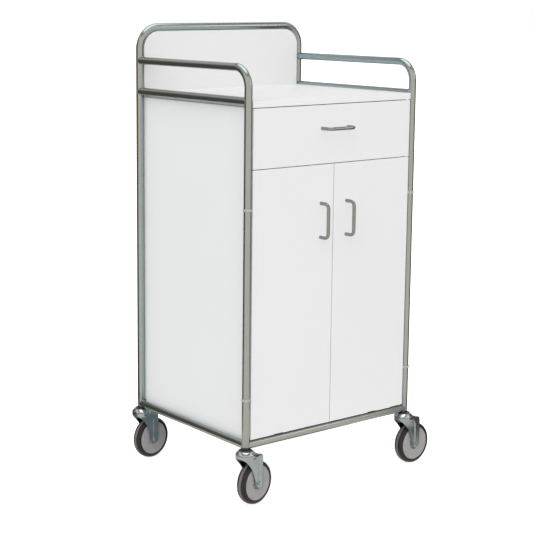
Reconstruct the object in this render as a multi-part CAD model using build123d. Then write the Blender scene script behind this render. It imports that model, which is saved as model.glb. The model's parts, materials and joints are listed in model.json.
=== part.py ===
"""Ward cabinet on four swivel castors: a welded round-tube frame round a laminated carcass,
with one drawer over a pair of doors. Millimetres, +Z up, front towards -Y. The origin is on
the floor, under the centre of the frame."""

import os
from build123d import *

# ---------------------------------------------------------------- frame
TUBE_R = 11.0
TUBE_BORE_R = 9.5
POST_X = 304.5  # half the distance between the left and right posts
POST_Y = 254.5  # half the distance between the front and rear posts
POST_FOOT_Z = 165.0
BASE_RAIL_Z = 177.0
LOWER_RAIL_Z = 1124.5
UPPER_RAIL_Z = 1213.5
ARCH_Z = 1309.5
HOOP_BEND_R = 54.0
ARCH_BEND_R = 62.0
COPE_GAP = 0.05
FIT = 0.1  # between two pieces that are screwed or glued together
CUT = 1.0  # how far a cutter runs past the face it opens

# ---------------------------------------------------------------- carcass
BOARD = 16.0
TUBE_TO_BOARD = 0.3
CASE_X = POST_X - TUBE_R - TUBE_TO_BOARD  # outer face of a side panel
CASE_INNER_X = CASE_X - BOARD
BACK_FRONT_Y = POST_Y - BOARD / 2
SIDE_FRONT_Y = -241.5
SIDE_REAR_Y = BACK_FRONT_Y - 0.3
SIDE_BOTTOM_Z = 178.0
WORKTOP_TOP_Z = 1124.8
WORKTOP_BOTTOM_Z = 1106.8
SHADOW_GROOVE_DEPTH = 8.0
SHADOW_GROOVE_HEIGHT = 12.0
TOP_SEAT = 0.3  # between a side panel and the worktop
BOTTOM_PANEL_Z = 188.3
DIVIDER_Z = 922.0
BRACKET_X = 180.0
BRACKET_HALF_X = 15.0
BRACKET_Y = (212.0, 246.8)
BRACKET_Z = (185.0, 188.0)
BRACKET_HOLE_Y = 225.0
BRACKET_SCREW_R = 2.4
BRACKET_SCREW_HEAD = (5.0, 3.0)  # radius, height
BRACKET_SCREW_TOP = 200.0
SHELF_Z = 560.0
SHELF_FRONT_Y = -224.0
SHELF_PLAY = 3.0
PIN_R = 2.5
PIN_STEP = 64.0
PIN_DEPTH = 9.0
PIN_REACH = 9.0
PIN_COLLAR = 1.0
PIN_Y = (-170.0, 190.0)

# ---------------------------------------------------------------- drawer and doors
FRONT_Y = -260.5  # outer face of the drawer front and the doors
FRONT_BACK_Y = FRONT_Y + BOARD
FRONT_HALF_X = 291.5
DRAWER_FRONT_Z = (941.4, 1104.8)
DOOR_Z = (192.0, 939.4)
SEAM_HALF = 1.25
DRAWER_SIDE = 12.0
DRAWER_OUTER_X = 264.5
DRAWER_Z = (955.0, 1085.0)
DRAWER_REAR_Y = 225.0
DRAWER_BOTTOM = 6.0
DRAWER_BOTTOM_RAISE = 4.0
RUNNER_Z = 1022.0
RUNNER_REAR_Y = 220.0
RUNNER_FRONT_Y = -238.5
RUNNER_STEEL = 1.4
RUNNER_FIXED = (10.2, 22.5)  # width across the lips, half height
RUNNER_MOVING = (9.5, 20.5)

# ---------------------------------------------------------------- handles, hinges, catches
HANDLE_ROD_R = 5.0
HANDLE_SPAN = 96.0
HANDLE_REACH = 33.0
HANDLE_BEND_R = 14.0
DRAWER_HANDLE_Z = 1040.0
DOOR_HANDLE_X = 48.0
DOOR_HANDLE_Z = 783.0
SCREW_R = 2.0
SCREW_HEAD_R = 4.0
SCREW_HEAD = 2.2
SCREW_TIP = 12.0  # how far a handle's screw stands out of the front board
HINGE_Z = (306.3, 833.2)
HINGE_HEIGHT = 7.6
HINGE_BORE_R = 11.06
HINGE_R = 12.6
LEAF_Y = (-244.4, -242.0)
LEAF_LENGTH = 52.0
LEAF_SCREW_REACH = (32.0, 45.0)  # from the post's axis
HINGE_SCREW_R = 1.5
HINGE_SCREW_DEPTH = 11.0
HINGE_SCREW_HEAD = (2.6, 0.35)  # radius, height
CATCH_X = 30.0
CATCH_HALF_X = 20.0
CATCH_Y = (-242.5, -226.0)
CATCH_HEIGHT = 15.9
STRIKE_HALF_X = 18.0
STRIKE_Z = (905.0, 919.0)
STRIKE_STEEL = 1.5

# ---------------------------------------------------------------- castors
WHEEL_R = 62.5
TREAD_WIDTH = 30.0
TREAD_EDGE_R = 9.0
HUB_R = 50.0
TRAIL = 37.5
AXLE_R = 4.0
LEG_INNER = 17.0
LEG_PLATE = 3.0
YOKE_Z = (141.2, 144.2)
CROWN_R = 28.0
CROWN_TOP_Z = 151.6
CAP_TOP_Z = 162.2
CAP_SKIRT_Z = 152.8
KINGPIN_R = 6.0
KINGPIN_HEAD = (9.5, 3.1)  # radius, height
KINGPIN_PLAY = 0.08
RACE_PLAY = 0.4
CAP_PROFILE = ((20.5, 0.0), (26.0, 1.6), (28.0, 4.2))  # radius, depth below its top
CAP_STEEL = 2.0
AXLE_PLAY = 0.05
COLLAR_R = 18.5
STEM_LENGTH = 45.0
FOOT_R = 12.5
YOKE_FRONT = -22.0  # where the front edge of a leg meets the yoke
LEG_WAIST = (13.0, 97.0)  # a point of the leg's front edge: along the trail, above the floor
HEX_R = 7.5
BOLT_HEAD = 5.4
NUT = 6.4
BOLT_END = 1.6
HUB_PROFILE = ((11.0, 16.5), (12.0, 13.6), (30.0, 12.6), (31.0, 13.4), (46.0, 14.2), (49.9, 13.6))
# name: (x of its post, y of its post, direction that its wheel trails, in degrees about +Z)
CASTORS = {
    "front_left": (-POST_X, -POST_Y, 10.0),
    "front_right": (POST_X, -POST_Y, 1.0),
    "rear_left": (-POST_X, POST_Y, 6.0),
    "rear_right": (POST_X, POST_Y, 4.0),
}


def block(x, y, z):
    """A box between two values on each axis."""
    size = [abs(span[1] - span[0]) for span in (x, y, z)]
    centre = [(span[0] + span[1]) / 2 for span in (x, y, z)]
    return Pos(*centre) * Box(*size)


def rod(start, end, radius):
    """A solid cylinder from one point to another."""
    line = Line(start, end)
    return sweep(Plane(origin=start, z_dir=line % 0) * Circle(radius), path=line)


def tube(points, bend_r=None):
    """A hollow frame tube along straight runs, with every corner bent to one radius."""
    path = FilletPolyline(*points, radius=bend_r) if bend_r else Line(*points)
    start = Plane(origin=path @ 0, z_dir=path % 0)
    outer = sweep(start * Circle(TUBE_R), path=path)
    return outer - sweep(start * Circle(TUBE_BORE_R), path=path)


def post_cutter(x, y):
    """What a rail's end is coped with where it meets the upright tube at x, y."""
    return rod((x, y, POST_FOOT_Z - CUT), (x, y, ARCH_Z - ARCH_BEND_R), TUBE_R + COPE_GAP)


def side_rail(side, z):
    """A straight rail between the front and rear posts of one side."""
    x = side * POST_X
    rail = tube([(x, -POST_Y, z), (x, POST_Y, z)])
    return rail - post_cutter(x, -POST_Y) - post_cutter(x, POST_Y)


def cross_rail(y):
    """A base rail across the front or the rear, coped on the posts and the side rails."""
    z = BASE_RAIL_Z
    rail = tube([(-POST_X, y, z), (POST_X, y, z)])
    for x in (-POST_X, POST_X):
        rail -= post_cutter(x, y)
        rail -= rod((x, -POST_Y, z), (x, POST_Y, z), TUBE_R + COPE_GAP)
    return rail


def side_hoop(side):
    """Upper side rail and front post, bent from one tube and welded to the rear post."""
    x = side * POST_X
    points = [(x, POST_Y, UPPER_RAIL_Z), (x, -POST_Y, UPPER_RAIL_Z), (x, -POST_Y, POST_FOOT_Z)]
    return tube(points, HOOP_BEND_R) - post_cutter(x, POST_Y)


def rear_arch():
    """Both rear posts and the bow over them, bent from one tube."""
    corners = [(-POST_X, POST_FOOT_Z), (-POST_X, ARCH_Z), (POST_X, ARCH_Z), (POST_X, POST_FOOT_Z)]
    return tube([(x, POST_Y, z) for x, z in corners], ARCH_BEND_R)


def bracket_holes():
    """x and y of the screw in each of the four brackets."""
    return [(x, y) for x in (-BRACKET_X, BRACKET_X) for y in (-BRACKET_HOLE_Y, BRACKET_HOLE_Y)]


def panel_brackets():
    """Tabs welded to the front and rear base rails, under the bottom panel."""
    tabs = []
    for x, y in bracket_holes():
        end = 1 if y > 0 else -1
        x_span = (x - BRACKET_HALF_X, x + BRACKET_HALF_X)
        tab = block(x_span, (end * BRACKET_Y[0], end * BRACKET_Y[1]), BRACKET_Z)
        hole = rod((x, y, BRACKET_Z[0] - CUT), (x, y, BRACKET_Z[1] + CUT), BRACKET_SCREW_R + FIT)
        tabs.append(tab - hole)
    return tabs


def bracket_screws():
    """Pan-head screws up through the tabs into the bottom panel."""
    screws = []
    head_r, head_height = BRACKET_SCREW_HEAD
    under = BRACKET_Z[0] - FIT
    for x, y in bracket_holes():
        shank = rod((x, y, under), (x, y, BRACKET_SCREW_TOP), BRACKET_SCREW_R)
        screws.append(rod((x, y, under - head_height), (x, y, under), head_r) + shank)
    return screws


def bottom_panel():
    """Floor of the cupboard, with blind holes for the bracket screws."""
    half = CASE_INNER_X - FIT
    z = (BOTTOM_PANEL_Z, BOTTOM_PANEL_Z + BOARD)
    panel = block((-half, half), (SIDE_FRONT_Y, SIDE_REAR_Y), z)
    for x, y in bracket_holes():
        panel -= rod((x, y, z[0] - CUT), (x, y, BRACKET_SCREW_TOP + CUT), BRACKET_SCREW_R + FIT)
    return panel


def back_panel():
    """Full-height back inside the arch, its top corners round to follow the tube."""
    half = CASE_X
    corner = ARCH_BEND_R - TUBE_R - TUBE_TO_BOARD
    top = ARCH_Z - TUBE_R - TUBE_TO_BOARD
    sheet = block((-half, half), (BACK_FRONT_Y, BACK_FRONT_Y + BOARD), (BOTTOM_PANEL_Z, top))
    top_corners = sheet.edges().filter_by(Axis.Y).group_by(Axis.Z)[-1]
    return fillet(top_corners, corner)


def pin_heights():
    """The three heights that a shelf pin can go in at. The shelf lies on the middle one."""
    middle = SHELF_Z - PIN_R
    return middle - PIN_STEP, middle, middle + PIN_STEP


def side_panel(side):
    """Side of the carcass, notched round the rear base rail and drilled for shelf pins."""
    x = (side * CASE_INNER_X, side * CASE_X)
    panel = block(x, (SIDE_FRONT_Y, SIDE_REAR_Y), (SIDE_BOTTOM_Z, WORKTOP_BOTTOM_Z - TOP_SEAT))
    notch_y = POST_Y - TUBE_R - TUBE_TO_BOARD
    panel -= block(x, (notch_y, POST_Y), (SIDE_BOTTOM_Z - CUT, BOTTOM_PANEL_Z))
    for y in PIN_Y:
        for z in pin_heights():
            mouth = (side * (CASE_INNER_X - CUT), y, z)
            panel -= rod(mouth, (side * (CASE_INNER_X + PIN_DEPTH), y, z), PIN_R + FIT)
    return panel


def shelf_pins():
    """Four plain pins with a stop collar, in the middle row of holes."""
    pins = []
    z = pin_heights()[1]
    for side in (-1, 1):
        for y in PIN_Y:
            tip = (side * (CASE_INNER_X + PIN_DEPTH - FIT), y, z)
            shank = rod(tip, (side * (CASE_INNER_X - PIN_REACH), y, z), PIN_R)
            seat = (side * (CASE_INNER_X - FIT), y, z)
            collar = rod(seat, (side * (CASE_INNER_X - FIT - PIN_COLLAR), y, z), PIN_R + PIN_COLLAR)
            pins.append(shank + collar - shelf_space())
    return pins


def shelf_space():
    """The room that the shelf takes, so that the pins' collars stay under it."""
    return block((-CASE_INNER_X, CASE_INNER_X), (SHELF_FRONT_Y, SIDE_REAR_Y), (SHELF_Z, SHELF_Z + BOARD))


def shelf():
    half = CASE_INNER_X - SHELF_PLAY / 2
    return block((-half, half), (SHELF_FRONT_Y, SIDE_REAR_Y - SHELF_PLAY), (SHELF_Z, SHELF_Z + BOARD))


def worktop():
    """Top board. Its side edges are undercut, which leaves a shadow groove under each lower rail."""
    top = block((-CASE_X, CASE_X), (FRONT_Y, SIDE_REAR_Y), (WORKTOP_BOTTOM_Z, WORKTOP_TOP_Z))
    groove_z = (WORKTOP_BOTTOM_Z - CUT, WORKTOP_BOTTOM_Z + SHADOW_GROOVE_HEIGHT)
    for side in (-1, 1):
        groove_x = (side * (CASE_X - SHADOW_GROOVE_DEPTH), side * (CASE_X + CUT))
        top -= block(groove_x, (SIDE_FRONT_Y, POST_Y), groove_z)
    return top


def divider_panel():
    """Board between the drawer and the cupboard."""
    half = CASE_INNER_X - FIT
    return block((-half, half), (SIDE_FRONT_Y, SIDE_REAR_Y), (DIVIDER_Z, DIVIDER_Z + BOARD))


def channel(x, toward, width, half_height):
    """A C-section runner along Y: its web at x, its lips reaching by width toward +X or -X."""
    y = (RUNNER_FRONT_Y, RUNNER_REAR_Y)
    low, high = RUNNER_Z - half_height, RUNNER_Z + half_height
    outside = block((x, x + toward * width), y, (low, high))
    hollow_x = (x + toward * RUNNER_STEEL, x + toward * (width + CUT))
    return outside - block(hollow_x, y, (low + RUNNER_STEEL, high - RUNNER_STEEL))


def runner_rail(side):
    """Fixed member of a drawer runner, on the side panel."""
    return channel(side * (CASE_INNER_X - FIT), -side, *RUNNER_FIXED)


def drawer_runner_slides():
    """Moving members of both runners, on the drawer's sides, nested in the fixed ones."""
    return [channel(side * (DRAWER_OUTER_X + FIT), side, *RUNNER_MOVING) for side in (-1, 1)]


def drawer_front():
    """Front board with holes for the handle's screws."""
    front = block((-FRONT_HALF_X, FRONT_HALF_X), (FRONT_Y, FRONT_BACK_Y), DRAWER_FRONT_Z)
    for x in (-HANDLE_SPAN / 2, HANDLE_SPAN / 2):
        front -= screw_hole(x, DRAWER_HANDLE_Z)
    return front


def drawer_side(side):
    x = (side * DRAWER_OUTER_X, side * (DRAWER_OUTER_X - DRAWER_SIDE))
    return block(x, (FRONT_BACK_Y + FIT, DRAWER_REAR_Y), DRAWER_Z)


def drawer_back():
    half = DRAWER_OUTER_X - DRAWER_SIDE - FIT
    return block((-half, half), (DRAWER_REAR_Y - DRAWER_SIDE, DRAWER_REAR_Y), DRAWER_Z)


def drawer_bottom():
    half = DRAWER_OUTER_X - DRAWER_SIDE - FIT
    y = (FRONT_BACK_Y + FIT, DRAWER_REAR_Y - DRAWER_SIDE - FIT)
    low = DRAWER_Z[0] + DRAWER_BOTTOM_RAISE
    return block((-half, half), y, (low, low + DRAWER_BOTTOM))


def screw_hole(x, z):
    """A clearance hole through a front board."""
    return rod((x, FRONT_Y - CUT, z), (x, FRONT_BACK_Y + CUT, z), SCREW_R + FIT)


def handle(ends):
    """A bow handle bent from one rod, tapped at both ends. ends are (x, z) on the front board."""
    (xa, za), (xb, zb) = ends
    out = FRONT_Y - HANDLE_REACH
    foot = FRONT_Y - FIT
    points = [(xa, foot, za), (xa, out, za), (xb, out, zb), (xb, foot, zb)]
    path = FilletPolyline(*points, radius=HANDLE_BEND_R)
    bow = sweep(Plane(origin=path @ 0, z_dir=path % 0) * Circle(HANDLE_ROD_R), path=path)
    for x, z in ends:
        bow -= rod((x, FRONT_Y - SCREW_TIP - FIT, z), (x, FRONT_Y, z), SCREW_R + FIT)
    return bow


def handle_screws(ends):
    """Machine screws from inside the front board into the handle's two ends."""
    screws = []
    seat = FRONT_BACK_Y + FIT
    for x, z in ends:
        shank = rod((x, FRONT_Y - SCREW_TIP, z), (x, seat, z), SCREW_R)
        screws.append(shank + rod((x, seat, z), (x, seat + SCREW_HEAD, z), SCREW_HEAD_R))
    return screws


def door_handle_ends(side):
    half = HANDLE_SPAN / 2
    return [(side * DOOR_HANDLE_X, DOOR_HANDLE_Z - half), (side * DOOR_HANDLE_X, DOOR_HANDLE_Z + half)]


def hinge_screw_places(side):
    """x and z of the two screws of each hinge leaf."""
    return [(side * (POST_X - reach), z) for z in HINGE_Z for reach in LEAF_SCREW_REACH]


def door(side):
    """A plain door, drilled for its handle and its hinge screws."""
    panel = block((side * SEAM_HALF, side * FRONT_HALF_X), (FRONT_Y, FRONT_BACK_Y), DOOR_Z)
    for x, z in door_handle_ends(side):
        panel -= screw_hole(x, z)
    for x, z in hinge_screw_places(side):
        tip = (x, FRONT_BACK_Y - HINGE_SCREW_DEPTH - FIT, z)
        panel -= rod(tip, (x, FRONT_BACK_Y + CUT, z), HINGE_SCREW_R + FIT)
    return panel


def hinges(side):
    """Two moulded hinges, each a ring round the front post with a leaf behind the door."""
    x = side * POST_X
    made = []
    for z in HINGE_Z:
        span = (z - HINGE_HEIGHT / 2, z + HINGE_HEIGHT / 2)
        ring = rod((x, -POST_Y, span[0]), (x, -POST_Y, span[1]), HINGE_R)
        leaf = block((x, side * (POST_X - LEAF_LENGTH)), LEAF_Y, span)
        hinge = ring + leaf - rod((x, -POST_Y, span[0] - CUT), (x, -POST_Y, span[1] + CUT), HINGE_BORE_R)
        for hole_x, hole_z in hinge_screw_places(side):
            ends = [(hole_x, y, hole_z) for y in (LEAF_Y[0] - CUT, LEAF_Y[1] + CUT)]
            hinge -= rod(*ends, HINGE_SCREW_R + FIT)
        made.append(hinge)
    return made


def door_screws(side):
    """Handle screws, and the thin-headed wood screws that hold the hinge leaves."""
    screws = handle_screws(door_handle_ends(side))
    head_r, head_height = HINGE_SCREW_HEAD
    seat = LEAF_Y[1] + FIT
    for x, z in hinge_screw_places(side):
        shank = rod((x, FRONT_BACK_Y - HINGE_SCREW_DEPTH, z), (x, seat, z), HINGE_SCREW_R)
        screws.append(shank + rod((x, seat, z), (x, seat + head_height, z), head_r))
    return screws


def strike_plate(side):
    """Steel plate on the door that the magnet holds."""
    x = side * CATCH_X
    y = (FRONT_BACK_Y + FIT, FRONT_BACK_Y + FIT + STRIKE_STEEL)
    return block((x - STRIKE_HALF_X, x + STRIKE_HALF_X), y, STRIKE_Z)


def magnetic_catches():
    """Two magnets in plastic housings under the divider."""
    z = (DIVIDER_Z - FIT - CATCH_HEIGHT, DIVIDER_Z - FIT)
    return [block((x - CATCH_HALF_X, x + CATCH_HALF_X), CATCH_Y, z) for x in (-CATCH_X, CATCH_X)]


def ring(inner_r, outer_r, low, high):
    """A plain ring about the castor's swivel axis."""
    return rod((0, 0, low), (0, 0, high), outer_r) - rod((0, 0, low - CUT), (0, 0, high + CUT), inner_r)


def castor_stem():
    """Expander in the post's foot, the threaded stem and the kingpin's head under the yoke."""
    head_r, head_height = KINGPIN_HEAD
    head_top = YOKE_Z[0] - RACE_PLAY
    expander = rod((0, 0, POST_FOOT_Z), (0, 0, POST_FOOT_Z + STEM_LENGTH), TUBE_BORE_R - COPE_GAP)
    kingpin = rod((0, 0, head_top), (0, 0, POST_FOOT_Z), KINGPIN_R)
    head = rod((0, 0, head_top - head_height), (0, 0, head_top), head_r)
    return expander + kingpin + head


def castor_collar():
    """Dark washer between the post's foot and the castor's cap."""
    return ring(KINGPIN_R + FIT, COLLAR_R, CAP_TOP_Z + FIT, POST_FOOT_Z - FIT)


def castor_cap():
    """Pressed upper race, which stays still while the fork turns under it."""
    bore = KINGPIN_R + FIT
    outer = [(bore, CAP_TOP_Z)] + [(r, CAP_TOP_Z - depth) for r, depth in CAP_PROFILE]
    inner = [(r - CAP_STEEL, CAP_TOP_Z - CAP_STEEL - depth) for r, depth in reversed(CAP_PROFILE)]
    skirt = [(CROWN_R, CAP_SKIRT_Z), (CROWN_R - CAP_STEEL, CAP_SKIRT_Z)]
    points = outer + skirt + inner + [(bore, CAP_TOP_Z - CAP_STEEL)]
    return revolve(make_face(Polyline(*[(r, 0, z) for r, z in points], close=True)), Axis.Z)


def fork_leg_outline():
    """Side view of a fork leg: a straight rear edge, a round foot and a long curved front edge."""
    axle_z = WHEEL_R
    yoke_front = (YOKE_FRONT, 0, YOKE_Z[1])
    yoke_rear = (TRAIL + FOOT_R, 0, YOKE_Z[1])
    foot_rear = (TRAIL + FOOT_R, 0, axle_z)
    foot_front = (TRAIL - FOOT_R, 0, axle_z)
    edges = [
        Line(yoke_front, yoke_rear),
        Line(yoke_rear, foot_rear),
        ThreePointArc(foot_rear, (TRAIL, 0, axle_z - FOOT_R), foot_front),
        ThreePointArc(foot_front, (LEG_WAIST[0], 0, LEG_WAIST[1]), yoke_front),
    ]
    return make_face(edges)


def castor_fork():
    """Pressed yoke: crown ring, top plate and two legs."""
    crown = ring(CROWN_R - LEG_PLATE, CROWN_R, YOKE_Z[0], CROWN_TOP_Z)
    half = LEG_INNER + LEG_PLATE
    plate = rod((0, 0, YOKE_Z[0]), (0, 0, YOKE_Z[1]), CROWN_R)
    plate += block((0, TRAIL + FOOT_R), (-half, half), YOKE_Z)
    leg = extrude(fork_leg_outline(), amount=LEG_PLATE, dir=(0, -1, 0))
    fork = crown + plate + Pos(0, -LEG_INNER, 0) * leg + Pos(0, half, 0) * leg
    fork -= rod((0, 0, YOKE_Z[0] - CUT), (0, 0, YOKE_Z[1] + CUT), KINGPIN_R + KINGPIN_PLAY)
    fork -= rod((TRAIL, -half - CUT, WHEEL_R), (TRAIL, half + CUT, WHEEL_R), AXLE_R + AXLE_PLAY)
    return fork


def axle_bolt():
    """Bolt through both legs, with its head on one side and a nut on the other."""
    half = LEG_INNER + LEG_PLATE
    shank = rod((TRAIL, -half - BOLT_HEAD, WHEEL_R), (TRAIL, half + NUT + BOLT_END, WHEEL_R), AXLE_R)
    hexagon = Plane(origin=(TRAIL, 0, WHEEL_R), z_dir=(0, -1, 0)) * RegularPolygon(HEX_R, 6)
    head = Pos(0, -half - FIT, 0) * extrude(hexagon, amount=BOLT_HEAD)
    nut = Pos(0, half + FIT + NUT, 0) * extrude(hexagon, amount=NUT)
    return shank + head + nut


def turned(profile):
    """A solid turned about the wheel's axle from a list of (radius, offset along the axle)."""
    face = make_face(Polyline(*[(TRAIL + r, offset, WHEEL_R) for r, offset in profile], close=True))
    return revolve(face, Axis((TRAIL, 0, WHEEL_R), (0, 1, 0)))


def wheel_hub():
    """Moulded hub: boss, dished discs with shallow steps, and the rim under the tyre."""
    half = [(AXLE_R + AXLE_PLAY, HUB_PROFILE[0][1]), *HUB_PROFILE]
    other = [(r, -offset) for r, offset in reversed(half)]
    return turned(half + other)


def wheel_tyre():
    """Rubber tyre with a round tread."""
    half = TREAD_WIDTH / 2
    band = turned([(HUB_R, -half), (HUB_R, half), (WHEEL_R, half), (WHEEL_R, -half)])
    shoulders = band.edges().filter_by(GeomType.CIRCLE)
    return fillet([edge for edge in shoulders if edge.radius > HUB_R + FIT], TREAD_EDGE_R)


def placed(name, piece):
    """A castor's piece, turned to its trailing direction and moved under its post."""
    x, y, direction = CASTORS[name]
    return Pos(x, y, 0) * Rot(0, 0, direction) * piece


def write(node, pieces):
    """Writes one node, of one solid or of several like ones, to parts/."""
    pieces = pieces if isinstance(pieces, list) else [pieces]
    solids = [solid for piece in pieces for solid in piece.solids()]
    shape = solids[0] if len(solids) == 1 else Compound(children=solids)
    shape.label = node
    export_step(shape, f"parts/{node}.step")


def main():
    os.makedirs("parts", exist_ok=True)
    write("rear_arch", rear_arch())
    write("front_base_rail", cross_rail(-POST_Y))
    write("rear_base_rail", cross_rail(POST_Y))
    write("back_panel", back_panel())
    write("bottom_panel", bottom_panel())
    write("divider_panel", divider_panel())
    write("worktop", worktop())
    write("shelf", shelf())
    write("shelf_pins", shelf_pins())
    write("panel_brackets", panel_brackets())
    write("bracket_screws", bracket_screws())
    write("magnetic_catches", magnetic_catches())
    for name, side in (("left", -1), ("right", 1)):
        write(f"{name}_side_hoop", side_hoop(side))
        write(f"{name}_lower_rail", side_rail(side, LOWER_RAIL_Z))
        write(f"{name}_base_rail", side_rail(side, BASE_RAIL_Z))
        write(f"{name}_side_panel", side_panel(side))
        write(f"{name}_runner_rail", runner_rail(side))
        write(f"drawer_{name}_side", drawer_side(side))
        write(f"{name}_door", door(side))
        write(f"{name}_door_handle", handle(door_handle_ends(side)))
        write(f"{name}_door_hinges", hinges(side))
        write(f"{name}_door_screws", door_screws(side))
        write(f"{name}_strike_plate", strike_plate(side))
    drawer_handle_ends = [(-HANDLE_SPAN / 2, DRAWER_HANDLE_Z), (HANDLE_SPAN / 2, DRAWER_HANDLE_Z)]
    write("drawer_front", drawer_front())
    write("drawer_back", drawer_back())
    write("drawer_bottom", drawer_bottom())
    write("drawer_runner_slides", drawer_runner_slides())
    write("drawer_handle", handle(drawer_handle_ends))
    write("drawer_handle_screws", handle_screws(drawer_handle_ends))
    write("castor_stems", [placed(name, castor_stem()) for name in CASTORS])
    write("castor_collars", [placed(name, castor_collar()) for name in CASTORS])
    write("castor_caps", [placed(name, castor_cap()) for name in CASTORS])
    for name in CASTORS:
        write(f"{name}_fork", placed(name, castor_fork()))
        write(f"{name}_axle_bolt", placed(name, axle_bolt()))
        write(f"{name}_hub", placed(name, wheel_hub()))
        write(f"{name}_tyre", placed(name, wheel_tyre()))


main()
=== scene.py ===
"""Looks of the ward cabinet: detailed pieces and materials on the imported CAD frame. Metres, +Z up."""

import bmesh
import bpy
import json
import math
from mathutils import Matrix, Vector, noise

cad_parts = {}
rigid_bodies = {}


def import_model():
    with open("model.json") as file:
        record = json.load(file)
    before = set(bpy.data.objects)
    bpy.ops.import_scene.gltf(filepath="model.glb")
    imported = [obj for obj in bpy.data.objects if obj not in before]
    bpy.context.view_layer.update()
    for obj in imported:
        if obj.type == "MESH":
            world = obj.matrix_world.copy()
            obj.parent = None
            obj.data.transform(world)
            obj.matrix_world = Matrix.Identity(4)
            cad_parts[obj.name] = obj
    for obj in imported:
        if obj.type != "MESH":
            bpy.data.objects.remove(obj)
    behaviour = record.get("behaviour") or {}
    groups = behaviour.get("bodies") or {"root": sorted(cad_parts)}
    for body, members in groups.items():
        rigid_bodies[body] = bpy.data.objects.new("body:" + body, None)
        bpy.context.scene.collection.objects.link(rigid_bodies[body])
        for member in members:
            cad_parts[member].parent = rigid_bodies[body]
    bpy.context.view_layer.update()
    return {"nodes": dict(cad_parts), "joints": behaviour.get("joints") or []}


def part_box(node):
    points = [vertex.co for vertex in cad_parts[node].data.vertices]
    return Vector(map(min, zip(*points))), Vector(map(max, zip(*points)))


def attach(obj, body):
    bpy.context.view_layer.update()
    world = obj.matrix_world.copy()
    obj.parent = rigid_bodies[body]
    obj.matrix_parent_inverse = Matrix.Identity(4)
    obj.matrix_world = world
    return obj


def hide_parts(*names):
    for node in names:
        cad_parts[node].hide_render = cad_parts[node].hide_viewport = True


for leftover in list(bpy.data.objects):
    bpy.data.objects.remove(leftover)
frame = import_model()
JOINTS = {joint["name"]: joint for joint in frame["joints"]}
NODES = frame["nodes"]
SIDES = (("left", -1), ("right", 1))
CASTORS = ("front_left", "front_right", "rear_left", "rear_right")


# ---------------------------------------------------------------- material helpers
class Nodes:
    """A node material and short calls that add and join its nodes."""

    def __init__(self, name):
        self.material = bpy.data.materials.new(name)
        self.material.use_nodes = True
        self.tree = self.material.node_tree
        self.shader = self.tree.nodes["Principled BSDF"]
        self.place = self.tree.nodes.new("ShaderNodeTexCoord").outputs["Object"]

    def link(self, source, target):
        self.tree.links.new(source, target)

    def uv(self):
        return self.tree.nodes.new("ShaderNodeUVMap").outputs["UV"]

    def stretch(self, vector, scale):
        node = self.tree.nodes.new("ShaderNodeMapping")
        node.inputs["Scale"].default_value = scale
        self.link(vector, node.inputs["Vector"])
        return node.outputs["Vector"]

    def noise(self, vector, scale, detail=3.0, roughness=0.5):
        node = self.tree.nodes.new("ShaderNodeTexNoise")
        node.inputs["Scale"].default_value = scale
        node.inputs["Detail"].default_value = detail
        node.inputs["Roughness"].default_value = roughness
        self.link(vector, node.inputs["Vector"])
        return node.outputs["Fac"]

    def span(self, value, low, high, start=0.3, stop=0.7):
        """value, taken from start..stop to low..high."""
        node = self.tree.nodes.new("ShaderNodeMapRange")
        for socket, number in zip(("From Min", "From Max", "To Min", "To Max"), (start, stop, low, high)):
            node.inputs[socket].default_value = number
        self.link(value, node.inputs["Value"])
        return node.outputs["Result"]

    def math(self, operation, a, b):
        node = self.tree.nodes.new("ShaderNodeMath")
        node.operation = operation
        for socket, value in zip(node.inputs, (a, b)):
            if isinstance(value, (int, float)):
                socket.default_value = value
            else:
                self.link(value, socket)
        return node.outputs["Value"]

    def blend(self, factor, a, b):
        node = self.tree.nodes.new("ShaderNodeMix")
        node.data_type = "RGBA"
        self.link(factor, node.inputs["Factor"])
        for socket, colour in zip(node.inputs[6:8], (a, b)):
            if isinstance(colour, tuple):
                socket.default_value = (*colour, 1)
            else:
                self.link(colour, socket)
        return node.outputs[2]

    def bump(self, height, distance, strength, under=None):
        node = self.tree.nodes.new("ShaderNodeBump")
        node.inputs["Distance"].default_value = distance
        node.inputs["Strength"].default_value = strength
        self.link(height, node.inputs["Height"])
        if under is not None:
            self.link(under, node.inputs["Normal"])
        return node.outputs["Normal"]

    def finish(self, colour, roughness, normal, **fixed):
        self.link(colour, self.shader.inputs["Base Color"])
        self.link(roughness, self.shader.inputs["Roughness"])
        self.link(normal, self.shader.inputs["Normal"])
        for socket, value in fixed.items():
            self.shader.inputs[socket.replace("_", " ")].default_value = value
        return self.material


def ground_steel(name, dark, light, rough):
    """Satin steel tube, ground round its girth. UVs are metres round and along the tube."""
    m = Nodes(name)
    uv = m.uv()
    scratches = m.noise(m.stretch(uv, (60, 2600, 1)), 1.0, 4.0, 0.65)
    bands = m.noise(m.stretch(uv, (9, 45, 1)), 1.0, 2.0)
    smudges = m.noise(m.place, 14.0, 4.0, 0.6)
    tone = m.math("ADD", m.math("MULTIPLY", scratches, 0.35), m.math("MULTIPLY", smudges, 0.65))
    colour = m.blend(m.span(tone, 0, 1, 0.35, 0.65), dark, light)
    wear = m.math("ADD", m.math("MULTIPLY", bands, 0.5), m.math("MULTIPLY", smudges, 0.5))
    roughness = m.span(wear, rough - 0.03, rough + 0.05)
    normal = m.bump(scratches, 0.000006, 0.5)
    return m.finish(colour, roughness, normal, Metallic=1.0, Anisotropic=0.25)


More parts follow.
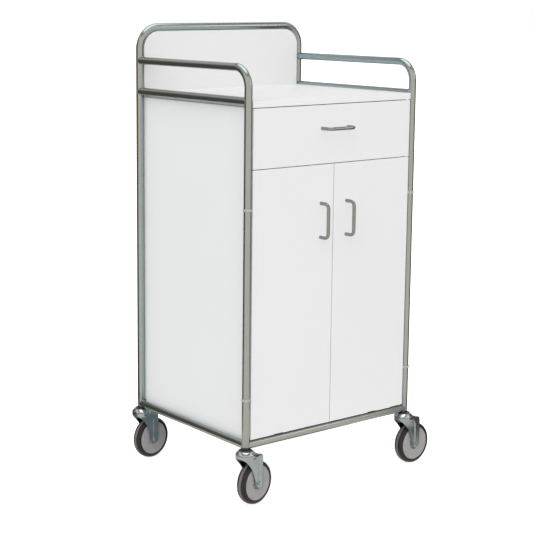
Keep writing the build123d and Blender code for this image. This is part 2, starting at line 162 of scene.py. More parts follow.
def laminate(name, axis, face, edge, rough=0.42):
    """White melamine board: a pearl-fine texture on its faces, and a smoother edge band."""
    m = Nodes(name)
    pearl = m.noise(m.place, 900.0, 2.0, 0.6)
    cloud = m.noise(m.place, 3.5, 3.0, 0.55)
    separate = m.tree.nodes.new("ShaderNodeSeparateXYZ")
    coordinates = m.tree.nodes.new("ShaderNodeTexCoord")
    m.link(coordinates.outputs["Normal"], separate.inputs["Vector"])
    facing = m.math("ABSOLUTE", separate.outputs[axis], 0.0)
    on_face = m.span(facing, 0, 1, 0.93, 0.99)
    tint = m.blend(m.span(cloud, 0, 1), tuple(c * 0.985 for c in face), face)
    colour = m.blend(on_face, edge, tint)
    handled = m.noise(m.place, 9.0, 5.0, 0.62)
    roughness = m.math("ADD", m.span(handled, rough - 0.05, rough + 0.06), m.span(on_face, -0.08, 0.0, 0, 1))
    normal = m.bump(pearl, 0.00002, 0.5)
    return m.finish(colour, roughness, normal, Specular_IOR_Level=0.45)


def zinc(name, dark, light, rough):
    """Blue-passivated zinc on pressed steel: a soft mottle, fine drawing marks and duller patches."""
    m = Nodes(name)
    mottle = m.noise(m.place, 260.0, 5.0, 0.65)
    patches = m.noise(m.place, 45.0, 3.0, 0.5)
    marks = m.noise(m.stretch(m.place, (900, 900, 120)), 1.0, 3.0, 0.7)
    tone = m.math("ADD", m.math("MULTIPLY", mottle, 0.55), m.math("MULTIPLY", patches, 0.45))
    colour = m.blend(m.span(tone, 0, 1, 0.38, 0.62), dark, light)
    roughness = m.span(tone, rough - 0.04, rough + 0.07)
    normal = m.bump(marks, 0.000008, 0.4, m.bump(mottle, 0.00001, 0.3))
    return m.finish(colour, roughness, normal, Metallic=1.0)


def plastic(name, dark, light, rough):
    """Moulded plastic with a spark-eroded grain and a slight flow mottle."""
    m = Nodes(name)
    grain = m.noise(m.place, 1400.0, 3.0, 0.6)
    flow = m.noise(m.place, 60.0, 3.0, 0.5)
    colour = m.blend(m.span(flow, 0, 1), dark, light)
    roughness = m.span(m.noise(m.place, 180.0, 4.0, 0.6), rough - 0.06, rough + 0.08)
    return m.finish(colour, roughness, m.bump(grain, 0.00003, 0.6))


def rubber(name, dark, dusty, rough):
    """Charcoal rubber with a fine moulded grain, and a lighter band round the tread's crown that is part dust where it
    rolls and part painted sheen.
    """
    m = Nodes(name)
    grain = m.noise(m.place, 1100.0, 4.0, 0.65)
    dust = m.noise(m.place, 70.0, 5.0, 0.7)
    split = m.tree.nodes.new("ShaderNodeSeparateXYZ")
    m.link(m.uv(), split.inputs["Vector"])
    offset = m.math("ABSOLUTE", split.outputs["X"], 0.0)
    # painted sheen: the lighter band round the crown, and its colour below, stand partly for dust and partly for the
    # studio's reflection along the tread
    crown_dust_and_sheen = m.span(m.math("ADD", offset, m.math("MULTIPLY", dust, 0.004)), 1, 0, 0.0052, 0.0072)
    moulded = m.blend(m.span(dust, 0, 1, 0.45, 0.75), dark, dusty)
    colour = m.blend(crown_dust_and_sheen, moulded, (0.15, 0.137, 0.125))
    roughness = m.math("ADD", m.span(dust, rough - 0.04, rough + 0.14), m.math("MULTIPLY", crown_dust_and_sheen, 0.2))
    return m.finish(colour, roughness, m.bump(grain, 0.00005, 0.5), Specular_IOR_Level=0.32)


def enamel(name, dark, light, rough):
    """Baked epoxy enamel with orange peel."""
    m = Nodes(name)
    peel = m.noise(m.place, 500.0, 2.0)
    cloud = m.noise(m.place, 30.0, 3.0)
    colour = m.blend(m.span(cloud, 0, 1), dark, light)
    return m.finish(colour, m.span(cloud, rough - 0.05, rough + 0.06), m.bump(peel, 0.00004, 0.5))


STEEL_DARK, STEEL_LIGHT = (0.30, 0.385, 0.395), (0.325, 0.415, 0.425)
BOARD_WHITE, BAND_WHITE = (0.775, 0.78, 0.785), (0.79, 0.795, 0.80)
DRAWER_WHITE = (0.74, 0.74, 0.73), (0.72, 0.72, 0.71)
MATERIALS = {
    "frame_steel": ground_steel("Satin_tube_steel", STEEL_DARK, STEEL_LIGHT, 0.19),
    "handle_steel": ground_steel("Satin_handle_steel", (0.225, 0.28, 0.28), (0.25, 0.31, 0.31), 0.16),
    "laminate_x": laminate("White_laminate_sides", "X", BOARD_WHITE, BAND_WHITE),
    "laminate_y": laminate("White_laminate_fronts", "Y", BOARD_WHITE, BAND_WHITE),
    "laminate_z": laminate("White_laminate_shelves", "Z", BOARD_WHITE, BAND_WHITE),
    "drawer_x": laminate("Drawer_board_sides", "X", *DRAWER_WHITE, 0.5),
    "drawer_y": laminate("Drawer_board_back", "Y", *DRAWER_WHITE, 0.5),
    "drawer_z": laminate("Drawer_board_bottom", "Z", *DRAWER_WHITE, 0.5),
    "runner_enamel": enamel("Runner_enamel", (0.72, 0.72, 0.71), (0.77, 0.77, 0.76), 0.35),
    "hinge_nylon": plastic("Hinge_nylon", (0.33, 0.34, 0.34), (0.40, 0.41, 0.41), 0.42),
    "screw_steel": zinc("Screw_zinc", (0.52, 0.53, 0.52), (0.64, 0.65, 0.64), 0.3),
    "catch_plastic": plastic("Catch_plastic", (0.70, 0.70, 0.69), (0.76, 0.76, 0.75), 0.45),
    "castor_zinc": zinc("Castor_zinc", (0.28, 0.40, 0.445), (0.355, 0.475, 0.525), 0.17),
    "cap_zinc": zinc("Castor_cap_zinc", (0.48, 0.60, 0.66), (0.54, 0.66, 0.72), 0.13),
    "collar_plastic": plastic("Collar_plastic", (0.022, 0.022, 0.024), (0.035, 0.034, 0.036), 0.45),
    "hub_plastic": plastic("Hub_plastic", (0.29, 0.29, 0.29), (0.335, 0.335, 0.335), 0.5),
    "tyre_rubber": rubber("Tyre_rubber", (0.009, 0.011, 0.016), (0.018, 0.019, 0.021), 0.36),
}


# ---------------------------------------------------------------- mesh helpers
def piece(name, part, material, slot, body, *nodes, angle):
    """A part (verts, faces, uvs or none) as an object on its body, in place of its CAD nodes."""
    verts, faces, uvs = part
    mesh = bpy.data.meshes.new(name)
    mesh.from_pydata([tuple(v) for v in verts], [], faces)
    if uvs:
        layer = mesh.uv_layers.new(name="UVMap")
        for loop in mesh.loops:
            layer.data[loop.index].uv = uvs[loop.index]
    return place_piece(name, mesh, material, slot, body, *nodes, angle=angle)


def place_piece(name, mesh, material, slot, body, *nodes, angle=None):
    """A mesh as an object, smooth but for edges sharper than angle. With no angle its large faces stay flat."""
    mesh.validate()
    mesh.update()
    mesh.shade_smooth()
    if angle is None:
        flattened(mesh)
    else:
        mesh.set_sharp_from_angle(angle=math.radians(angle))
    mesh.materials.clear()
    mesh.materials.append(MATERIALS[material])
    obj = bpy.data.objects.new(name, mesh)
    bpy.context.scene.collection.objects.link(obj)
    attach(obj, body)
    if nodes:
        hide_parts(*nodes)
    return obj


def bent_path(points, bend, steps=14):
    """Points and directions along straight runs whose corners are bent to one radius."""
    points = [Vector(p) for p in points]
    line = [(points[0], (points[1] - points[0]).normalized())]
    for before, corner, after in zip(points, points[1:], points[2:]):
        a = (corner - before).normalized()
        b = (after - corner).normalized()
        turn = a.angle(b)
        reach = bend * math.tan(turn / 2)
        centre = corner + (b - a).normalized() * (bend / math.cos(turn / 2))
        axis = a.cross(b).normalized()
        arm = corner - a * reach - centre
        for i in range(steps + 1):
            swing = Matrix.Rotation(turn * i / steps, 3, axis)
            line.append((centre + swing @ arm, (swing @ a).normalized()))
    line.append((points[-1], (points[-1] - points[-2]).normalized()))
    return line


def lengthened(line, longest):
    """The same line, with long runs cut so that no step is longer than longest."""
    out = [line[0]]
    for (p, d), (q, e) in zip(line, line[1:]):
        count = max(1, math.ceil((q - p).length / longest))
        for i in range(1, count):
            out.append((p.lerp(q, i / count), d))
        out.append((q, e))
    return out


def ring_faces(rings, segments):
    """Quads that join neighbouring rings of segments vertices."""
    faces = []
    for i in range(rings - 1):
        for k in range(segments):
            n = (k + 1) % segments
            faces.append((i * segments + k, i * segments + n, (i + 1) * segments + n, (i + 1) * segments + k))
    return faces


def swept(line, radii, segments, seam):
    """Rings along a line. radii gives each ring's radius; seam is a direction no run is parallel to."""
    verts, uvs = [], []
    along = [0.0]
    for (p, _), (q, _) in zip(line, line[1:]):
        along.append(along[-1] + (q - p).length)
    for (p, d), r in zip(line, radii):
        side = (seam - d * seam.dot(d)).normalized()
        up = d.cross(side)
        for k in range(segments):
            t = 2 * math.pi * k / segments
            verts.append(p + (side * math.cos(t) + up * math.sin(t)) * r)
    for i in range(len(line) - 1):
        for k in range(segments):
            for row, column in ((i, k), (i, k + 1), (i + 1, k + 1), (i + 1, k)):
                uvs.append((column / segments * 2 * math.pi * max(radii), along[row]))
    return verts, ring_faces(len(line), segments), uvs


def joined(*parts):
    """Several (verts, faces, uvs) as one."""
    verts, faces, uvs = [], [], []
    for v, f, u in parts:
        start = len(verts)
        verts += v
        faces += [tuple(i + start for i in face) for face in f]
        uvs += u
    return verts, faces, uvs


def tube(points, bend, seam, open_ends=()):
    """A frame tube's outside. At each end named in open_ends the wall and 30 mm of the bore show too."""
    line = lengthened(bent_path(points, bend), 0.06)
    radii = [TUBE_R] * len(line)
    bore, lip = TUBE_R - TUBE_WALL, TUBE_R - 0.0003
    depths = (0.0002, 0.002, 0.03)
    if "last" in open_ends:
        p, d = line[-1]
        line[-1] = (p - d * LIP_TALL, d)
        line += [(p, d), (p, d)] + [(p - d * depth, d) for depth in depths]
        radii += [lip] + [bore] * 4
    if "first" in open_ends:
        p, d = line[0]
        line[0] = (p + d * LIP_TALL, d)
        line = [(p + d * depth, d) for depth in reversed(depths)] + [(p, d), (p, d)] + line
        radii = [bore] * 4 + [lip] + radii
    return swept(line, radii, 48, seam)


def capped_rod(points, bend, radius, seam):
    """A solid rod with softened ends."""
    edge = 0.0006
    line = lengthened(bent_path(points, bend, 18), 0.01)
    (p, d), (q, e) = line[0], line[-1]
    line = [(p, d), (p, d), (p + d * edge, d)] + line[1:-1] + [(q - e * edge, e), (q, e), (q, e)]
    radii = [0.0001, radius - edge] + [radius] * (len(line) - 4) + [radius - edge, 0.0001]
    return swept(line, radii, 32, seam)


def lathe(profile, segments):
    """A ring turned about Z from a closed loop of (radius, height). UVs are the height and the way round."""
    verts, faces, uvs = [], [], []
    for k in range(segments):
        t = 2 * math.pi * k / segments
        verts += [Vector((r * math.cos(t), r * math.sin(t), h)) for r, h in profile]
    count = len(profile)
    for k in range(segments):
        n = (k + 1) % segments
        for i in range(count):
            j = (i + 1) % count
            faces.append((k * count + i, n * count + i, n * count + j, k * count + j))
            rows = ((i, k), (i, k + 1), (j, k + 1), (j, k))
            uvs += [(profile[row][1], column / segments * 2 * math.pi * profile[row][0]) for row, column in rows]
    return verts, faces, uvs


def mapped(part, matrix):
    """A part moved by matrix."""
    verts, faces, uvs = part
    return [matrix @ v for v in verts], faces, uvs


# the step to a cell's neighbour, and the corners of the face between them
CELL_FACES = (
    ((-1, 0, 0), ((0, 0, 0), (0, 0, 1), (0, 1, 1), (0, 1, 0))),
    ((1, 0, 0), ((1, 0, 0), (1, 1, 0), (1, 1, 1), (1, 0, 1))),
    ((0, -1, 0), ((0, 0, 0), (1, 0, 0), (1, 0, 1), (0, 0, 1))),
    ((0, 1, 0), ((0, 1, 0), (0, 1, 1), (1, 1, 1), (1, 1, 0))),
    ((0, 0, -1), ((0, 0, 0), (0, 1, 0), (1, 1, 0), (1, 0, 0))),
    ((0, 0, 1), ((0, 0, 1), (1, 0, 1), (1, 1, 1), (0, 1, 1))),
)


def cells_solid(xs, ys, zs, filled):
    """A solid made of the filled cells of a grid, as one mesh with no inner faces."""
    bm = bmesh.new()
    made = {}

    def vert(i, j, k):
        if (i, j, k) not in made:
            made[i, j, k] = bm.verts.new((xs[i], ys[j], zs[k]))
        return made[i, j, k]

    def full(i, j, k):
        inside = 0 <= i < len(xs) - 1 and 0 <= j < len(ys) - 1 and 0 <= k < len(zs) - 1
        return inside and filled(i, j, k)

    for i in range(len(xs) - 1):
        for j in range(len(ys) - 1):
            for k in range(len(zs) - 1):
                if not full(i, j, k):
                    continue
                for step, corners in CELL_FACES:
                    if not full(i + step[0], j + step[1], k + step[2]):
                        bm.faces.new([vert(i + a, j + b, k + c) for a, b, c in corners])
    bmesh.ops.dissolve_limit(bm, angle_limit=0.01, verts=bm.verts, edges=bm.edges)
    return bm


def block(x, y, z):
    """A plain box over three (low, high) spans, to be softened."""
    return cells_solid(x, y, z, lambda i, j, k: True)


def softened(bm, width, segments=3):
    """Rounds every sharp edge of bm and returns the mesh."""
    sharp = [e for e in bm.edges if len(e.link_faces) == 2 and e.calc_face_angle() > 0.6]
    bmesh.ops.bevel(bm, geom=sharp, offset=width, segments=segments, profile=0.5, affect="EDGES", clamp_overlap=True)
    bmesh.ops.recalc_face_normals(bm, faces=bm.faces)
    mesh = bpy.data.meshes.new("board")
    bm.to_mesh(mesh)
    bm.free()
    return mesh


def flattened(mesh):
    """Keeps the shading of large faces flat right up to their softened edges."""
    facing = [Vector() for _ in mesh.vertices]
    for polygon in mesh.polygons:
        for i in polygon.vertices:
            facing[i] += polygon.normal * polygon.area
    mesh.normals_split_custom_set_from_vertices([n.normalized() for n in facing])


ARRIS = 0.0008


def board(node, material, slot, body, width=ARRIS):
    """A board the size of its CAD node, with softened arrises."""
    lo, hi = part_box(node)
    mesh = softened(block(*zip(lo, hi)), width)
    return place_piece(f"{node}_board", mesh, material, slot, body, node)


def bored(obj, cylinders):
    """Cuts round holes, given as (start, end, radius), out of a piece's mesh."""
    bm = bmesh.new()
    for start, end, radius in cylinders:
        start, end = Vector(start), Vector(end)
        turn = (end - start).to_track_quat("Z", "Y").to_matrix().to_4x4()
        bmesh.ops.create_cone(
            bm, cap_ends=True, segments=64, radius1=radius, radius2=radius, depth=(end - start).length,
            matrix=Matrix.Translation((start + end) / 2) @ turn,
        )
    mesh = bpy.data.meshes.new("drills")
    bm.to_mesh(mesh)
    bm.free()
    drills = bpy.data.objects.new("drills", mesh)
    bpy.context.scene.collection.objects.link(drills)
    cut = obj.modifiers.new("holes", "BOOLEAN")
    cut.operation, cut.object, cut.solver = "DIFFERENCE", drills, "EXACT"
    bpy.context.view_layer.update()
    result = bpy.data.meshes.new_from_object(obj.evaluated_get(bpy.context.evaluated_depsgraph_get()))
    obj.modifiers.clear()
    obj.data = result
    bpy.data.objects.remove(drills)


# ---------------------------------------------------------------- frame
arch_lo, arch_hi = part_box("rear_arch")
hoop_lo, hoop_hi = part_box("left_side_hoop")
TUBE_R, TUBE_WALL = (arch_hi.y - arch_lo.y) / 2, 0.0015
POST_X = arch_hi.x - TUBE_R
REAR_Y = arch_hi.y - TUBE_R
FRONT_Y = hoop_lo.y + TUBE_R
FOOT_Z = arch_lo.z
ARCH_Z = arch_hi.z - TUBE_R
HOOP_Z = hoop_hi.z - TUBE_R
ARCH_BEND, HOOP_BEND = 0.062, 0.054
LIP_TALL, BEAD_R = 0.0004, 0.0011
ALONG_X, ALONG_Y, ALONG_Z = Vector((1, 0, 0)), Vector((0, 1, 0)), Vector((0, 0, 1))


def weld(post, along, z):
    """The ground-down bead round the saddle where a rail that runs along meets an upright post."""
    side = along.cross(ALONG_Z)
    points, radii = [], []
    count = 96
    for i in range(count + 1):
        t = 2 * math.pi * i / count
        out = TUBE_R * math.sqrt(math.sin(t) ** 2 + 0.01)
        p = Vector((*post, z)) + side * TUBE_R * 1.004 * math.cos(t) + ALONG_Z * TUBE_R * 1.004 * math.sin(t)
        points.append(p + along * out)
        ripple = noise.noise(Vector((post[0] * 90, z * 90, i * 0.55)))
        radii.append(BEAD_R * (1 + 0.22 * ripple))
    closed = []
    for i, p in enumerate(points):
        ahead, behind = points[(i + 1) % count], points[(i - 1) % count]
        closed.append((p, (ahead - behind).normalized()))
    return swept_ring(closed, radii)


def swept_ring(line, radii):
    """A closed bead: rings square to their line, turned so that they start away from its centre."""
    segments = 8
    centre = sum((p for p, _ in line), Vector()) / len(line)
    verts, uvs = [], []
    for (p, d), r in zip(line, radii):
        side = ((p - centre) - d * (p - centre).dot(d)).normalized()
        up = d.cross(side)
        for k in range(segments):
            t = 2 * math.pi * k / segments
            verts.append(p + (side * math.cos(t) + up * math.sin(t)) * r)
    for i in range(len(line) - 1):
        for k in range(segments):
            uvs += [(k * 0.001, i * 0.0008), ((k + 1) % segments * 0.001, i * 0.0008)] * 2
    return verts, ring_faces(len(line), segments), uvs


def frame_piece(name, part, *nodes):
    """A part of the welded frame, on the cabinet."""
    piece(name, part, "frame_steel", "frame_steel", "cabinet", *nodes, angle=50)


arch_points = [(-POST_X, FOOT_Z), (-POST_X, ARCH_Z), (POST_X, ARCH_Z), (POST_X, FOOT_Z)]
arch = tube([(x, REAR_Y, z) for x, z in arch_points], ARCH_BEND, ALONG_Y, ("first", "last"))
frame_piece("rear_arch_tube", arch, "rear_arch")
rail_z = {}
for level in ("lower", "base"):
    low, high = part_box(f"left_{level}_rail")
    rail_z[level] = (low.z + high.z) / 2
for name, side in SIDES:
    x = side * POST_X
    points = [(x, REAR_Y, HOOP_Z), (x, FRONT_Y, HOOP_Z), (x, FRONT_Y, FOOT_Z)]
    frame_piece(f"{name}_hoop_tube", tube(points, HOOP_BEND, ALONG_X, ("last",)), f"{name}_side_hoop")
    for level, z in rail_z.items():
        rail = tube([(x, FRONT_Y, z), (x, REAR_Y, z)], 0, ALONG_X)
        frame_piece(f"{name}_{level}_rail_tube", rail, f"{name}_{level}_rail")
    beads = [weld((x, REAR_Y), -ALONG_Y, HOOP_Z)]
    for z in rail_z.values():
        beads += [weld((x, FRONT_Y), ALONG_Y, z), weld((x, REAR_Y), -ALONG_Y, z)]
    beads.append(weld((x, FRONT_Y), ALONG_X * -side, rail_z["base"]))
    frame_piece(f"{name}_weld_beads", joined(*beads))
for name, y in (("front", FRONT_Y), ("rear", REAR_Y)):
    z = rail_z["base"]
    rail = tube([(-POST_X, y, z), (POST_X, y, z)], 0, ALONG_Y)
    frame_piece(f"{name}_base_rail_tube", rail, f"{name}_base_rail")


# ---------------------------------------------------------------- case, drawer and doors
for node in ("bottom_panel", "divider_panel", "shelf"):
    board(node, "laminate_z", "white_laminate", "cabinet")
board("drawer_front", "laminate_y", "white_laminate", "drawer")
for name, side in SIDES:
    board(f"{name}_door", "laminate_y", "white_laminate", f"{name}_door")
    board(f"drawer_{name}_side", "drawer_x", "drawer_board", "drawer")
board("drawer_back", "drawer_y", "drawer_board", "drawer")
board("drawer_bottom", "drawer_z", "drawer_board", "drawer", ARRIS / 2)
UNDERCUT_TALL, UNDERCUT_DEEP = 0.012, 0.008
PIN_STEP, PIN_COLLAR = 0.064, 0.0009
PIN_HOLE_DEEP = 0.009


def worktop():
    """Top board whose side edges are undercut behind its front strip."""
    lo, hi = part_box("worktop")
    panel_lo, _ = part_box("left_side_panel")
    groove_top = lo.z + UNDERCUT_TALL
    xs = (lo.x, lo.x + UNDERCUT_DEEP, hi.x - UNDERCUT_DEEP, hi.x)
    ys = (lo.y, panel_lo.y, hi.y)
    zs = (lo.z, groove_top, hi.z)
    mesh = softened(cells_solid(xs, ys, zs, lambda i, j, k: i == 1 or j == 0 or k == 1), ARRIS)
    place_piece("worktop_board", mesh, "laminate_z", "white_laminate", "cabinet", "worktop")


def back_panel():
    """Back board with round top corners."""
    lo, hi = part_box("back_panel")
    corner = ARCH_BEND - TUBE_R - 0.0003
    outline = [(hi.x, lo.z), (lo.x, lo.z)]
    for centre_x, start in ((lo.x + corner, 180), (hi.x - corner, 90)):
        for i in range(21):
            t = math.radians(start - 90 * i / 20)
            outline.append((centre_x + corner * math.cos(t), hi.z - corner + corner * math.sin(t)))
    bm = bmesh.new()
    face = bm.faces.new([bm.verts.new((x, lo.y, z)) for x, z in outline])
    grown = bmesh.ops.extrude_face_region(bm, geom=[face])["geom"]
    moved = [v for v in grown if isinstance(v, bmesh.types.BMVert)]
    bmesh.ops.translate(bm, vec=(0, hi.y - lo.y, 0), verts=moved)
    mesh = softened(bm, ARRIS)
    place_piece("back_board", mesh, "laminate_y", "white_laminate", "cabinet", "back_panel")


def side_panel(name, side):
    """Side board coped round the rear base rail, with its rows of shelf-pin holes."""
    lo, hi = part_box(f"{name}_side_panel")
    mesh = softened(block(*zip(lo, hi)), ARRIS)
    node = f"{name}_side_panel"
    obj = place_piece(f"{name}_side_board", mesh, "laminate_x", "white_laminate", "cabinet", node, angle=50)
    inner = lo.x if side > 0 else hi.x
    rail = rail_z["base"]
    drills = [((lo.x - 0.001, REAR_Y, rail), (hi.x + 0.001, REAR_Y, rail), TUBE_R + 0.0003)]
    pins_lo, pins_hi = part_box("shelf_pins")
    collar_r = (pins_hi.z - pins_lo.z) / 2
    pin_r = collar_r - PIN_COLLAR
    middle = pins_lo.z + collar_r
    for y in (pins_lo.y + collar_r, pins_hi.y - collar_r):
        for z in (middle - PIN_STEP, middle, middle + PIN_STEP):
            drills.append(((inner - side * 0.001, y, z), (inner + side * PIN_HOLE_DEEP, y, z), pin_r))
    bored(obj, drills)
    flattened(obj.data)


worktop()
back_panel()
for name, side in SIDES:
    side_panel(name, side)


# ---------------------------------------------------------------- handles
HANDLE_BEND = 0.014


def handle(node, body, upright):
    """A bow handle bent from one rod."""
    lo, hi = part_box(node)
    r = (hi.x - lo.x) / 2 if upright else (hi.z - lo.z) / 2
    out = lo.y + r
    if upright:
        x = (lo.x + hi.x) / 2
        ends = [(x, lo.z + r), (x, hi.z - r)]
        seam = ALONG_X
    else:
        z = (lo.z + hi.z) / 2
        ends = [(lo.x + r, z), (hi.x - r, z)]
        seam = ALONG_Z
    (xa, za), (xb, zb) = ends
    points = [(xa, hi.y, za), (xa, out, za), (xb, out, zb), (xb, hi.y, zb)]
    rod = capped_rod(points, HANDLE_BEND, r, seam)
    bow = piece(f"{node}_bow", rod, "handle_steel", "handle_steel", body, node, angle=60)
    bow.visible_diffuse = False  # leaves only the key light's faint shadow of it on the board


handle("drawer_handle", "drawer", False)
for name, side in SIDES:
    handle(f"{name}_door_handle", f"{name}_door", True)


# ---------------------------------------------------------------- screws
def pan_head(radius, height):
    """A pan head with a cross recess, standing up from z 0."""
    segments, rings = 40, 14
    arm, reach, depth = radius * 0.17, radius * 0.56, height * 0.55
    verts = [Vector((0, 0, height - depth))]
    for i in range(1, rings + 1):
        r = radius * i / rings
        top = height * math.sqrt(max(0.0, 1 - (r / radius) ** 4)) * 0.999
        for k in range(segments):
            t = 2 * math.pi * k / segments
            x, y = r * math.cos(t), r * math.sin(t)
            in_arm = min(abs(x), abs(y)) < arm and max(abs(x), abs(y)) < reach
            z = top - (depth * (1 - 0.5 * max(abs(x), abs(y)) / reach) if in_arm else 0.0)
            verts.append(Vector((x, y, max(z, 0.0))))
    faces = [(0, 1 + k, 1 + (k + 1) % segments) for k in range(segments)]
    faces += [(1 + a, 1 + d, 1 + c, 1 + b) for a, b, c, d in ring_faces(rings, segments)]
    return verts, faces, [(0.0, 0.0)] * sum(len(f) for f in faces)


def screws(name, node, body, heads, shank):
    """Screw heads at (place, direction, radius, height), each on a plain shank that the board hides."""
    parts = []
    for place, direction, radius, height in heads:
        turn = Vector(direction).to_track_quat("Z", "Y").to_matrix().to_4x4()
        here = Matrix.Translation(place) @ turn
        parts.append(mapped(pan_head(radius, height), here))
        parts.append(mapped(lathe([(0.0004, 0.0), (shank, 0.0), (shank, -0.012), (0.0004, -0.012)], 16), here))
    piece(name, joined(*parts), "screw_steel", "screw_steel", body, node, angle=40)


HEAD, HINGE_HEAD, BRACKET_HEAD = (0.004, 0.0022), (0.0026, 0.00035), (0.005, 0.003)
HANDLE_ROD_R, RING_HALF, LEAF_THICK = 0.005, 0.0038, 0.0024
LEAF_SCREWS = (0.032, 0.045)  # from the post's axis
BRACKET_X, BRACKET_Y = 0.18, 0.225
inside_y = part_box("drawer_front")[1].y + 0.0001
bow_lo, bow_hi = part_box("drawer_handle")
bow_z = (bow_lo.z + bow_hi.z) / 2
heads = [((x, inside_y, bow_z), (0, 1, 0), *HEAD) for x in (bow_lo.x + HANDLE_ROD_R, bow_hi.x - HANDLE_ROD_R)]
screws("drawer_handle_screw_heads", "drawer_handle_screws", "drawer", heads, 0.0019)
for name, side in SIDES:
    bow_lo, bow_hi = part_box(f"{name}_door_handle")
    bow_x = (bow_lo.x + bow_hi.x) / 2
    heads = [((bow_x, inside_y, z), (0, 1, 0), *HEAD) for z in (bow_lo.z + HANDLE_ROD_R, bow_hi.z - HANDLE_ROD_R)]
    ring_lo, ring_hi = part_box(f"{name}_door_hinges")
    leaf_y = inside_y + LEAF_THICK + 0.0001
    for z in (ring_lo.z + RING_HALF, ring_hi.z - RING_HALF):
        for reach in LEAF_SCREWS:
            heads.append(((side * (POST_X - reach), leaf_y, z), (0, 1, 0), *HINGE_HEAD))
    screws(f"{name}_door_screw_heads", f"{name}_door_screws", f"{name}_door", heads, 0.0014)
tab_lo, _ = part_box("panel_brackets")
places = [(x, y) for x in (-BRACKET_X, BRACKET_X) for y in (-BRACKET_Y, BRACKET_Y)]
heads = [((x, y, tab_lo.z - 0.0001), (0, 0, -1), *BRACKET_HEAD) for x, y in places]
screws("bracket_screw_heads", "bracket_screws", "cabinet", heads, 0.0023)


# ---------------------------------------------------------------- castors
def castor_matrix(name):
    """From a castor's own axes (trail, across, up) to the row frame."""
    x, y, _ = JOINTS[f"{name}_swivel"]["pos_m"]
    axle = JOINTS[f"{name}_wheel_spin"]["axis"]
    return Matrix.Translation((x, y, 0)) @ Matrix.Rotation(math.atan2(-axle[0], axle[1]), 4, "Z")


swivel = Vector(JOINTS["front_left_swivel"]["pos_m"])
hub_place = Vector(JOINTS["front_left_wheel_spin"]["pos_m"])
TRAIL = (hub_place - swivel).to_2d().length
AXLE_Z = hub_place.z

# columns of the fork's half skin, from the front of the crown round to the rear: each is
# (trail, across, height) in millimetres, from the crown's lip down to the skin's lower edge
FORK_COLUMNS = [
    [(-28, 0, 151.6), (-28, 0, 150), (-28, 0, 148.4), (-28, 0, 146.9), (-28, 0, 145.5),
     (-28, 0, 144.2), (-27.8, 0, 143)],
    [(-27, 7.2, 151.6), (-27, 7.2, 150), (-27, 7.2, 148.3), (-27, 7.2, 146.7), (-27, 7.2, 145.2),
     (-27, 7.2, 143.9), (-26.8, 7.2, 142.6)],
    [(-24.2, 14, 151.6), (-24.2, 14, 149.5), (-24.2, 14, 147.4), (-24.2, 14, 145.4), (-24, 14.2, 143.4),
     (-23.6, 14.6, 141.5), (-22.8, 15.4, 139.8)],
    [(-19.8, 19.8, 151.6), (-19.8, 19.8, 148.6), (-19.8, 19.8, 145.8), (-19.6, 19.8, 142.8), (-18.9, 19.7, 139.6),
     (-17.6, 19.7, 136.5), (-16, 19.7, 133.4)],
    [(-14, 24.2, 151.6), (-14, 24.2, 147.5), (-13.2, 23.7, 143.2), (-11.4, 22.2, 138.4), (-9, 21, 132.6),
     (-6.2, 20.3, 127), (-3.8, 20, 121)],
    [(-7.2, 27, 151.6), (-7.2, 27, 147.2), (-6.2, 26.3, 143), (-3.2, 23.6, 137), (2, 20.9, 127),
     (6.6, 20, 115), (9.8, 20, 102)],
    [(-1, 28, 151.6), (-1, 28, 147.1), (0.2, 27.2, 143), (4, 24.2, 137), (11.6, 20.6, 122),
     (17, 20, 100), (20.2, 20, 74.5)],
    [(4.9, 27.6, 151.6), (4.9, 27.6, 147.2), (6.6, 26.9, 143.2), (11.4, 24.2, 137.6), (20.4, 20.5, 118),
     (24.6, 20, 90), (25.2, 20, 59.6)],
    [(10.5, 26, 151.6), (10.5, 26, 147.6), (13.2, 25.6, 144), (20.2, 23.4, 138.6), (29.4, 20.4, 117),
     (30.2, 20, 90), (30.2, 20, 52.6)],
    [(15.3, 23.5, 151.6), (16, 23.6, 148.7), (19.4, 23.8, 145.5), (27.2, 23.4, 140), (31.4, 22, 117),
     (31.8, 22, 90), (31.9, 22, 51.4)],
    [(19.5, 20.1, 151.6), (21.5, 20.6, 149.9), (26, 21.4, 147.6), (36.6, 22.2, 142.4), (40.4, 22, 117),
     (40.6, 22, 90), (40.2, 22, 50.3)],
    [(22.9, 16, 151.6), (25.4, 17, 150.9), (31, 18.9, 149), (46.4, 21.6, 143.6), (48.4, 22, 117),
     (48.4, 22, 90), (46.6, 22, 53.9)],
    [(23.9, 14.6, 151.6), (26.4, 15.6, 151), (32.2, 17.4, 149.2), (48.6, 20.6, 143), (50, 21, 117),
     (50, 21, 90), (49.9, 21, 60.6)],
]
TOP_COLUMNS = [
    [(23.9, 14.6, 151.6), (26.4, 15.6, 151), (32.2, 17.4, 149.2), (48.6, 20.6, 143)],
    [(26, 10.4, 151.6), (28.2, 10.8, 151.1), (33.8, 12, 149.3), (49.2, 14, 143.4)],
    [(27.5, 5.2, 151.6), (29.6, 5.4, 151.1), (35, 6, 149.3), (49.4, 7, 143.6)],
    [(28, 0, 151.6), (30, 0, 151.1), (35.4, 0, 149.3), (49.5, 0, 143.6)],
]


def curve_through(points, steps):
    """A smooth line through points, with steps spans between neighbours."""
    points = [Vector(p) for p in points]
    out = []
    for i in range(len(points) - 1):
        a, b = points[max(i - 1, 0)], points[i]
        c, d = points[i + 1], points[min(i + 2, len(points) - 1)]
        for k in range(steps):
            t = k / steps
            out.append(
                (b * 2 + (c - a) * t + (a * 2 - b * 5 + c * 4 - d) * t * t + (b * 3 - a - c * 3 + d) * t**3) / 2
            )
    out.append(points[-1])
    return out


def skin(columns, row_steps, column_steps):
    """A smooth grid through columns of points, as rows of columns."""
    rows_by_column = [curve_through(column, row_steps) for column in columns]
    rows = []
    for i in range(len(rows_by_column[0])):
        rows.append(curve_through([column[i] for column in rows_by_column], column_steps))
    return rows


